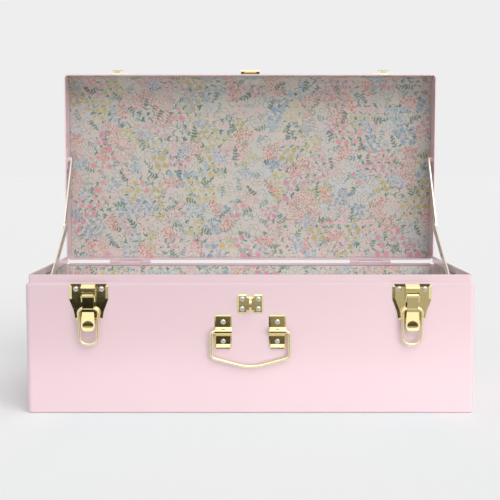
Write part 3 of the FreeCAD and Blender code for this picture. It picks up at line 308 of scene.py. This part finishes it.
class Motif:
    """Motifs of one kind, scattered over the sheet in staggered cells.

    x and y are the place of a point in its own motif, which is turned at random.
    """

    def __init__(self, finish, sheet, pitch, reach, lean, seed):
        self.finish = finish
        shift_across, shift_up = (seed * share for share in CELL_SHIFT)
        across, up = finish.turn(*sheet, lean)
        across = across / pitch + shift_across
        up = up / pitch + shift_up
        row = finish.math("FLOOR", up)
        across = across + row * 0.5
        column = finish.math("FLOOR", across)
        self.dice = finish.dice(column, row, seed)
        self.pick = finish.dice(column, row, seed + PICK_SEED)[0]
        middle = finish.turn((column + 0.5 - row * 0.5 - shift_across) * pitch,
                             (row + 0.5 - shift_up) * pitch, -lean)
        self.middle = finish.vector(*middle, 0.0)
        roam = max(0.0, 1 - 2 * reach / pitch)
        x = (across - column - 0.5 - (self.dice[0] - 0.5) * roam) * pitch
        y = (up - row - 0.5 - (self.dice[1] - 0.5) * roam) * pitch
        self.x, self.y = finish.turn(x, y, self.dice[2] * math.tau)
        self.radius = finish.length(self.x, self.y)
        self.bearing = finish.math("ARCTAN2", self.y, self.x)

    def color(self, tints, pick=None):
        stops = [(index / len(tints), shade) for index, shade in enumerate(tints)]
        return self.finish.ramp(pick or self.pick, stops, "CONSTANT")

    def within(self, number, share):
        """Far above zero where the number lies in the share, far below it elsewhere."""
        low, high = share
        return self.both(number - low, high - number) * 100

    def patch(self):
        """Three random numbers that neighbouring motifs of one patch share."""
        return self.finish.parts(self.finish.node(
            "ShaderNodeTexVoronoi", {"voronoi_dimensions": "2D"},
            {"Vector": self.middle, "Scale": 1 / PATCH}, output="Color"))

    def ink(self, depth):
        return self.finish.soft_step(depth, INK_EDGE)

    def lobes(self, count):
        """1 at the middle of each petal and 0 between two petals."""
        return abs(self.finish.math("COSINE", self.bearing * (count / 2)))

    def oval(self, x, y, half_length, half_width):
        """How deep the point lies in an oval, about in millimetres."""
        return (1.0 - self.finish.length(x / half_length, y / half_width)) * half_width

    def either(self, first, second):
        return self.finish.math("MAXIMUM", first, second)

    def both(self, first, second):
        return self.finish.math("MINIMUM", first, second)


def paint_washes(finish, base, sheet, pitch, size, tints, lean, seed):
    """Large faint flowers, hardly darker than the paper."""
    motif = Motif(finish, sheet, pitch, size, lean, seed)
    edge = (0.75 + 0.25 * motif.lobes(6)) * size
    return finish.mix(finish.soft_step(edge - motif.radius, 3.0), base, motif.color(tints))


def paint_blossoms(finish, base, sheet, pitch, size, share, lean, seed):
    """Round flowers in patches of one colour; share says which patches have them."""
    motif = Motif(finish, sheet, pitch, size, lean, seed)
    patch = motif.patch()
    grown = (0.78 + 0.22 * motif.dice[2]) * size
    lobes = motif.lobes(5)
    edge = (0.8 + 0.2 * lobes) * grown
    depth = motif.both(edge - motif.radius, motif.within(patch[1], share))
    petal = motif.color(PATCH_TINTS, patch[0])
    petal = finish.mix(motif.dice[0] * 0.4, petal, PAPER)
    seam = motif.ink(0.1 * size - motif.radius * lobes) * 0.4
    colored = finish.mix(seam, petal, finish.mix(0.3, petal, PETAL_SEAM))
    heart = motif.ink(grown * 0.22 - motif.radius) * 0.6
    colored = finish.mix(heart, colored, FLOWER_HEART)
    base = finish.mix(motif.ink(depth + HALO), base, PAPER)
    return finish.mix(motif.ink(depth), base, colored)


def paint_leaf_pairs(finish, base, sheet, pitch, leaf, share, lean, seed):
    """Two dark leaves on a short stalk, between the flowers."""
    motif = Motif(finish, sheet, pitch, leaf, lean, seed)
    patch = motif.patch()
    outward, rising = finish.turn(abs(motif.x), motif.y + leaf * 0.4, -0.62 - motif.dice[0] * 0.5)
    leaves = motif.oval(outward - leaf * 0.52, rising, leaf * 0.52, leaf * 0.19)
    stalk = motif.both(0.28 - abs(motif.x), leaf * 0.7 - abs(motif.y + leaf * 0.3))
    drawn = motif.both(motif.either(leaves, stalk), motif.within(patch[1], share))
    return finish.mix(motif.ink(drawn), base, motif.color(LEAVES))


def paint_speckles(finish, base, sheet, pitch, size, share, lean, seed):
    """Small dots, close together, in a few patches."""
    motif = Motif(finish, sheet, pitch, size, lean, seed)
    patch = motif.patch()
    depth = motif.both(size - finish.length(motif.x, motif.y * 0.7),
                       motif.within(patch[1], share))
    return finish.mix(motif.ink(depth), base, motif.color([CORAL, PALE_CORAL], patch[2]))


def paint_sprigs(finish, base, sheet, pitch, length, leaf, tints, lean, seed):
    """A curved stem with paired leaves that get smaller towards the tip."""
    motif = Motif(finish, sheet, pitch, length * 0.55, lean, seed)
    along = motif.y
    aside = motif.x - along * along * (motif.dice[1] - 0.5) / length * 1.2
    step = length / 3.6
    local = finish.math("FLOORED_MODULO", along, step) - step * 0.35
    growth = 0.8 - along / length * 0.7
    outward, rising = finish.turn(abs(aside), local, -0.75)
    reach = leaf * 0.5
    leaves = motif.oval(outward - growth * reach, rising, growth * reach, growth * leaf * 0.22)
    tip = motif.oval(along - length * 0.46, aside, leaf * 0.42, leaf * 0.16)
    stem = 0.22 - abs(aside)
    inside = length * 0.5 - abs(along)
    drawn = motif.either(motif.both(motif.either(leaves, stem), inside), tip)
    return finish.mix(motif.ink(drawn), base, motif.color(tints))


def paint_sprays(finish, base, sheet, pitch, length, tints, lean, seed):
    """A fan of fine twigs, each with buds at its end and halfway up."""
    motif = Motif(finish, sheet, pitch, length * 0.62, lean, seed)
    lowered = motif.y + length * 0.45
    radius = finish.length(motif.x, lowered)
    bearing = finish.math("ARCTAN2", motif.x, lowered)
    step = 0.5
    folded = finish.math("FLOORED_MODULO", bearing, step) - step / 2
    along = radius * finish.math("COSINE", folded)
    aside = radius * finish.math("SINE", folded)
    twig = motif.both(0.3 - abs(aside), length * 0.95 - radius)
    bud = length * 0.085
    buds = motif.either(bud - finish.length(along - length * 0.9, aside),
                        bud * 0.8 - finish.length(along - length * 0.66, abs(aside) - bud * 0.7))
    buds = motif.either(buds, bud * 0.6 - finish.length(along - length * 0.42, aside))
    drawn = motif.both(motif.either(twig, buds), (1.0 - abs(bearing)) * 4.0)
    base = finish.mix(motif.ink(drawn + HALO), base, PAPER)
    return finish.mix(motif.ink(drawn), base, motif.color(tints))


def paint_line_flowers(finish, base, sheet, pitch, size, petals, lean, seed):
    """Large pale flowers drawn only as thin grey lines."""
    motif = Motif(finish, sheet, pitch, size, lean, seed)
    lobes = motif.lobes(petals)
    edge = (0.62 + 0.38 * lobes ** 0.7) * size
    inner = (0.35 + 0.2 * lobes) * size
    outline = motif.either(0.36 - abs(edge - motif.radius), 0.26 - abs(inner - motif.radius))
    seam = motif.both(0.24 - motif.radius * lobes * 0.5, edge - motif.radius)
    drawn = motif.either(outline, motif.both(seam, motif.radius - size * 0.2))
    base = finish.mix(motif.ink(edge - motif.radius), base, PAPER)
    base = finish.mix(motif.ink(size * 0.13 - motif.radius), base, PALE_HEART)
    return finish.mix(motif.ink(drawn) * 0.9, base, LINE)


def paint_dots(finish, base, sheet, pitch, size, tints, share, lean, seed):
    """Single small blossoms of mixed colours on the open ground."""
    motif = Motif(finish, sheet, pitch, size, lean, seed)
    grown = (0.5 + motif.dice[2] * 0.5) * size
    depth = motif.both(grown - motif.radius, motif.within(motif.patch()[1], share))
    return finish.mix(motif.ink(depth), base, motif.color(tints))


def printed_card(name, across, up):
    """Card covered with the printed paper; across and up give the place on the sheet."""
    finish = Finish(name)
    place = finish.place()
    sheet = across(finish, place), up(finish, place)
    flat = finish.vector(*sheet, 0.0)
    base = finish.mix(finish.noise(flat, scale=0.02), PAPER, PAPER_SHADE)
    drift = finish.parts(finish.noise(flat, scale=0.11, detail=1.0, output="Color"))
    sheet = [line + (shift - 0.5) * DRIFT for line, shift in zip(sheet, drift)]
    base = paint_washes(finish, base, sheet, pitch=37.0, size=12.0, tints=WASHES,
                        lean=0.3, seed=1.0)
    base = paint_line_flowers(finish, base, sheet, pitch=27.0, size=11.5, petals=7,
                              lean=0.2, seed=2.0)
    base = paint_sprigs(finish, base, sheet, pitch=25.0, length=15.0, leaf=6.0,
                        tints=PALE_LEAVES, lean=0.6, seed=3.0)
    base = paint_dots(finish, base, sheet, pitch=7.0, size=1.3, tints=SMALL_TINTS,
                      share=OPEN_PATCHES, lean=0.9, seed=4.0)
    base = paint_speckles(finish, base, sheet, pitch=3.6, size=0.9, share=SPECKLED_PATCHES,
                          lean=0.4, seed=5.0)
    base = paint_leaf_pairs(finish, base, sheet, pitch=10.4, leaf=5.6, share=FLOWER_PATCHES,
                            lean=1.1, seed=6.0)
    base = paint_blossoms(finish, base, sheet, pitch=8.0, size=3.5, share=SMALL_PATCHES,
                          lean=0.9, seed=7.0)
    base = paint_blossoms(finish, base, sheet, pitch=11.8, size=4.9, share=LARGE_PATCHES,
                          lean=0.0, seed=8.0)
    base = paint_sprigs(finish, base, sheet, pitch=43.0, length=15.0, leaf=7.0,
                        tints=LEAVES, lean=1.2, seed=9.0)
    base = paint_sprays(finish, base, sheet, pitch=53.0, length=19.0,
                        tints=[CORAL, FADED_BLUE], lean=0.5, seed=10.0)
    fibre = finish.noise(flat, scale=0.8, detail=3.0)
    base = finish.mix(fibre * 0.10, base, FIBRE)
    return finish.close(base, 0.62 + fibre * 0.1, bump=fibre, bump_height=0.03 * MM)


CARD = 1.2
LID_CARD_BEND = 20.0


def along_axis(index):
    return lambda finish, place: finish.parts(place)[index] * (1 / MM)


def round_the_bend(finish, place):
    """The way up the lid's back panel, round the bend and forwards under its front wall."""
    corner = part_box("lid_liner")[1] / MM - Vector((0, CARD + LID_CARD_BEND, CARD + LID_CARD_BEND))
    _, depth, height = [part * (1 / MM) for part in finish.parts(place)]
    over, back = height - corner.z, depth - corner.y
    rise = finish.math("MAXIMUM", over, 0.0)
    angle = finish.math("ARCTAN2", rise, finish.math("MAXIMUM", back, 0.0))
    forward = finish.math("MAXIMUM", -back, 0.0) * (over > 0.0)
    return height - rise + angle * LID_CARD_BEND + forward


# Every piece gets its finish

ALONG_X, ALONG_Y, ALONG_Z = along_axis(0), along_axis(1), along_axis(2)
SATIN = satin_brass()
LEVER = lever_brass()
UPRIGHT_PRINT = printed_card("print_upright", ALONG_X, ALONG_Z)
END_PRINT = printed_card("print_end", ALONG_Y, ALONG_Z)

OWN_FINISHES = {
    "lid_liner": printed_card("print_round_the_bend", ALONG_X, round_the_bend),
    "base_liner_floor": printed_card("print_flat", ALONG_X, ALONG_Y),
    "base_liner_front": UPRIGHT_PRINT,
    "base_liner_back": UPRIGHT_PRINT,
    "base_liner_left": END_PRINT,
    "base_liner_right": END_PRINT,
    "latch_lever_left": LEVER,
    "latch_lever_right": LEVER,
    "latch_loop_left": SATIN,
    "latch_loop_right": SATIN,
    "keeper_left": SATIN,
    "keeper_right": SATIN,
    "handle_bail": SATIN,
}

FINISHES = {
    "pink_steel": powder_coat(),
    "brass": brass(),
    "nickel": nickel(),
    "stay_steel": stay_steel(),
}

for row in frame["record"]["subparts"]:
    piece = frame["nodes"][row["node"]]
    piece.data.materials.clear()
    piece.data.materials.append(OWN_FINISHES.get(row["node"]) or FINISHES[row["material_slot"]])


# Camera, from a fit of the model's corners to the photograph

FOCAL_PIXELS = 1000.1
CAMERA_PLACE = (-0.0004, -1.3004, 0.2885)
CAMERA_DIP = 0.0805

camera = bpy.data.objects.new("camera", bpy.data.cameras.new("camera"))
camera.data.sensor_width = SENSOR_WIDTH
camera.data.lens = FOCAL_PIXELS * SENSOR_WIDTH / PHOTO_WIDTH
camera.location = CAMERA_PLACE
camera.rotation_euler = (math.pi / 2 - CAMERA_DIP, 0, 0)
bpy.context.scene.collection.objects.link(camera)
bpy.context.scene.camera = camera


# Floor, backdrop and lamps

def stage_sheet(name, corners, material):
    """A flat sheet of the stage, with four corners."""
    mesh = bpy.data.meshes.new(name)
    mesh.from_pydata(corners, [], [(0, 1, 2, 3)])
    mesh.materials.append(material)
    thing = bpy.data.objects.new(name, mesh)
    bpy.context.scene.collection.objects.link(thing)
    return thing


def hang(thing, toward):
    """Put a lamp into the scene with its back toward that way."""
    thing.rotation_euler = Vector(toward).to_track_quat("Z", "Y").to_euler()
    bpy.context.scene.collection.objects.link(thing)


def sun(name, strength, toward, spread):
    lamp = bpy.data.lights.new(name, "SUN")
    lamp.energy = strength
    lamp.angle = math.radians(spread)
    hang(bpy.data.objects.new(name, lamp), toward)


def soft_box(name, power, place, target, size, lit):
    """A soft lamp that lights only the pieces named in lit and never shows itself."""
    lamp = bpy.data.lights.new(name, "AREA")
    lamp.energy = power
    lamp.shape = "RECTANGLE"
    lamp.size, lamp.size_y = size
    thing = bpy.data.objects.new(name, lamp)
    thing.location = place
    thing.visible_glossy = False
    thing.visible_camera = False
    hang(thing, Vector(place) - Vector(target))
    receivers = bpy.data.collections.new(name)
    for piece in lit:
        receivers.objects.link(frame["nodes"][piece])
    thing.light_linking.receiver_collection = receivers


FLOOR_REACH = 40.0
FLOOR_TONE = 0.90
# Painted shade: how much of its red, green and blue the floor keeps close before the trunk.
PAINTED_SHADE_SHARES = (0.88, 0.96, 0.96)
TRUNK_FRONT = -0.1325
PAINTED_SHADE_HALF_WIDTH = 0.2
PAINTED_SHADE_REACH = 0.14
FADE_BESIDE = 4
FADE_BEHIND = 3


def pale_floor():
    """A pale floor with painted shade before the trunk: a little cooler there, with less red, to
    offset the pink light that the front throws on it.
    """
    finish = Finish("pale_floor")
    across, along, _ = finish.parts(finish.place())
    beside = (abs(across) - PAINTED_SHADE_HALF_WIDTH) * FADE_BESIDE
    before = finish.math("MAXIMUM", TRUNK_FRONT - along, (along - TRUNK_FRONT) * FADE_BEHIND)
    away = finish.length(finish.math("MAXIMUM", beside, 0.0), before) / PAINTED_SHADE_REACH
    close_by = finish.math("DIVIDE", 1.0, away * away + 1.0)
    painted_floor_shade = (*(FLOOR_TONE * share for share in PAINTED_SHADE_SHARES), 1.0)
    return finish.close(finish.mix(close_by, gray(FLOOR_TONE), painted_floor_shade), 0.9)


stage_sheet("floor", [(-FLOOR_REACH, -FLOOR_REACH, 0), (FLOOR_REACH, -FLOOR_REACH, 0),
                      (FLOOR_REACH, FLOOR_REACH, 0), (-FLOOR_REACH, FLOOR_REACH, 0)],
            pale_floor())

BACKDROP_TONE = 0.855
AIR_STRENGTH = 0.26

world = bpy.data.worlds.new("studio")
bpy.context.scene.world = world
studio = Nodes(world)
air = studio.node("ShaderNodeBackground", None, {"Color": CLEAR_WHITE, "Strength": AIR_STRENGTH})
backdrop = studio.node("ShaderNodeBackground", None, {"Color": gray(BACKDROP_TONE)})
seen = studio.math("MAXIMUM", studio.node("ShaderNodeLightPath", output="Is Camera Ray"),
                   studio.node("ShaderNodeLightPath", output="Is Glossy Ray"))
surroundings = studio.node("ShaderNodeMixShader", None, {0: seen, 1: air, 2: backdrop})
studio.node("ShaderNodeOutputWorld", None, {"Surface": surroundings})

sun("key", 1.7, toward=(0.34, -0.62, 0.71), spread=55)
sun("overhead", 0.90, toward=(0.0, 0.1, 1.0), spread=120)

outside = [name for name in frame["nodes"] if "liner" not in name]
lid_side = [name for name in frame["nodes"] if name.startswith(("lid_shell", "stay"))]
base_lining = [name for name in frame["nodes"] if name.startswith("base_liner")]
soft_box("low_right", 4.0, place=(0.95, -0.85, 0.12), target=(0.2, -0.13, 0.05),
         size=(0.6, 0.3), lit=outside)
soft_box("low_strip", 0.21, place=(0.05, -0.27, 0.015), target=(0.05, -0.13, 0.015),
         size=(0.9, 0.03), lit=outside)
soft_box("lid_front", 5.5, place=(0.1, -1.15, 0.45), target=(0.0, 0.1, 0.28),
         size=(1.5, 0.4), lit=lid_side)
soft_box("base_lining", 8.0, place=(0.1, -1.15, 0.45), target=(0.0, 0.1, 0.28),
         size=(1.5, 0.4), lit=base_lining)
soft_box("inside", 0.22, place=(0.0, -0.04, 0.26), target=(0.0, 0.14, 0.17),
         size=(0.45, 0.1), lit=["base_body"])
soft_box("lining_low", 0.14, place=(0.0, -0.02, 0.19), target=(0.0, 0.14, 0.19),
         size=(0.45, 0.05), lit=["lid_liner"])


# Glowing cards that only reflections see, which paint dark and bright reflections in the metal: a
# dark one on the floor before the trunk, a bright one beyond it

WARM_WHITE = (1.0, 0.98, 0.94, 1)
DARK_BAND = (0.05, 0.035, 0.02, 1)
DARK_TONES = [(0.26, (0.012, 0.014, 0.008, 1)), (0.42, (0.09, 0.075, 0.05, 1)),
              (0.6, (0.34, 0.31, 0.25, 1)), (0.8, (0.50, 0.47, 0.42, 1))]
CARD_NEAR, CARD_FAR, CARD_SIDE, CARD_HEIGHT = -0.46, -1.58, 0.6, 0.001
BOARD_ALONG, BOARD_SIDE, BOARD_LOW, BOARD_HIGH = -1.6, 1.6, 0.06, 1.4
BOARD_STRENGTH = 1.22


def glow(name, paint, strength):
    """A finish that shines with the colour that paint gives."""
    finish = Finish(name)
    shader = finish.node("ShaderNodeEmission", None,
                         {"Color": paint(finish), "Strength": strength})
    finish.node("ShaderNodeOutputMaterial", None, {"Surface": shader})
    return finish.material


def only_reflected(thing):
    thing.visible_camera = False
    thing.visible_diffuse = False
    thing.visible_shadow = False
    thing.visible_transmission = False


def dark_card(finish):
    """A painted dark reflection: nearly black at the left near the trunk, and paler to the right
    and away from it.
    """
    across, along, _ = finish.parts(finish.place())
    blotch = finish.noise(finish.place(), scale=5.0, detail=1.0)
    shade = across * 1.1 + 0.5 - (along + 0.85) * 0.5 + (blotch - 0.5) * 0.2
    return finish.ramp(shade, DARK_TONES)


def bright_card(finish):
    """A painted reflection that glows: warm white with one dark band over its whole width, by
    height above the floor.
    """
    up = finish.parts(finish.place())[2]
    return finish.ramp(up, [(0.5, WARM_WHITE), (0.55, DARK_BAND),
                            (0.66, DARK_BAND), (0.72, WARM_WHITE)])


only_reflected(stage_sheet(
    "dark_card", [(-CARD_SIDE, CARD_NEAR, CARD_HEIGHT), (CARD_SIDE, CARD_NEAR, CARD_HEIGHT),
                  (CARD_SIDE, CARD_FAR, CARD_HEIGHT), (-CARD_SIDE, CARD_FAR, CARD_HEIGHT)],
    glow("dark_card", dark_card, 1.0)))
only_reflected(stage_sheet(
    "bright_card", [(-BOARD_SIDE, BOARD_ALONG, BOARD_LOW), (BOARD_SIDE, BOARD_ALONG, BOARD_LOW),
                    (BOARD_SIDE, BOARD_ALONG, BOARD_HIGH), (-BOARD_SIDE, BOARD_ALONG, BOARD_HIGH)],
    glow("bright_card", bright_card, BOARD_STRENGTH)))

bpy.context.scene.view_settings.view_transform = "Standard"
